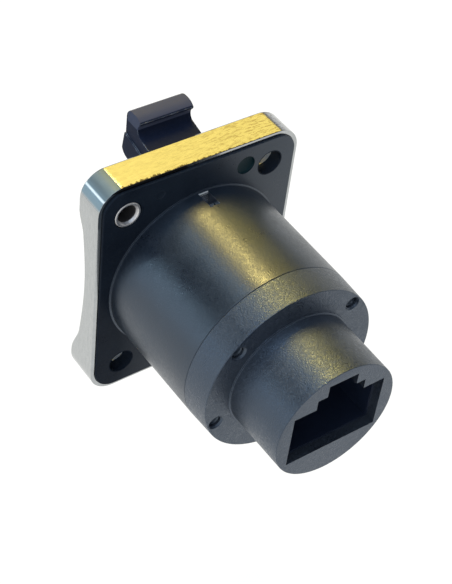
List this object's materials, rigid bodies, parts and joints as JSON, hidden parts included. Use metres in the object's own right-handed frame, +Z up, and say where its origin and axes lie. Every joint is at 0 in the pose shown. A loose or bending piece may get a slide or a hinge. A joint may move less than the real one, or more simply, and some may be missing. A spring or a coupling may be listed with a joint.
{
  "type": "panel-mount modular jack",
  "caption": "Round-barrel panel feed-through jack for a modular plug: plated flange with a push latch in front, stepped socket at the rear of its barrel.",
  "frame": {"origin": "centre of the diagonal screw-hole pattern, on the flange's rear face, which seats on the panel; also the barrel's axis", "axes": "+Y along the barrel's axis towards the rear socket, +Z up towards the push latch, +X to the right for someone who faces the panel from the front"},
  "size_m": [0.0272, 0.0389, 0.0334],
  "materials": {
    "plated_shell": "satin nickel plating over a zinc die casting",
    "black_housing": "fine moulded grain, black",
    "black_cap": "fine moulded grain, black",
    "black_lever": "smooth moulded black",
    "black_insert": "smooth moulded black",
    "comb_plastic": "smooth moulded black",
    "circuit_board": "green solder mask on glass laminate",
    "contact_gold": "thin gold plating on phosphor bronze",
    "spring_steel": "rolled stainless strip",
    "pin_steel": "ground steel",
    "rivet_plating": "nickel-plated, rolled edge"
  },
  "bodies": {
    "housing": {"front_shell": "plated_shell", "rear_housing": "black_housing", "rear_cap": "black_cap", "latch_pin": "pin_steel", "latch_spring": "spring_steel", "rivet_upper": "rivet_plating", "rivet_lower": "rivet_plating", "front_jack_body": "black_insert", "rear_jack_body": "black_insert", "front_comb": "comb_plastic", "rear_comb": "comb_plastic", "link_board": "circuit_board", "front_contact_1": "contact_gold", "front_contact_2": "contact_gold", "front_contact_3": "contact_gold", "front_contact_4": "contact_gold", "front_contact_5": "contact_gold", "front_contact_6": "contact_gold", "front_contact_7": "contact_gold", "front_contact_8": "contact_gold", "rear_contact_1": "contact_gold", "rear_contact_2": "contact_gold", "rear_contact_3": "contact_gold", "rear_contact_4": "contact_gold", "rear_contact_5": "contact_gold", "rear_contact_6": "contact_gold", "rear_contact_7": "contact_gold", "rear_contact_8": "contact_gold"},
    "latch": {"latch_lever": "black_lever"}
  },
  "joints": [
    {"name": "latch_push", "type": "hinge", "parent": "housing", "child": "latch", "pos_m": [0, -0.00275, 0.0127], "axis": [1, 0, 0], "range_deg": [0, 5], "stiffness_Nm_per_rad": 0.05, "springref_deg": -5.73, "deforming": ["latch_spring"]}
  ]
}
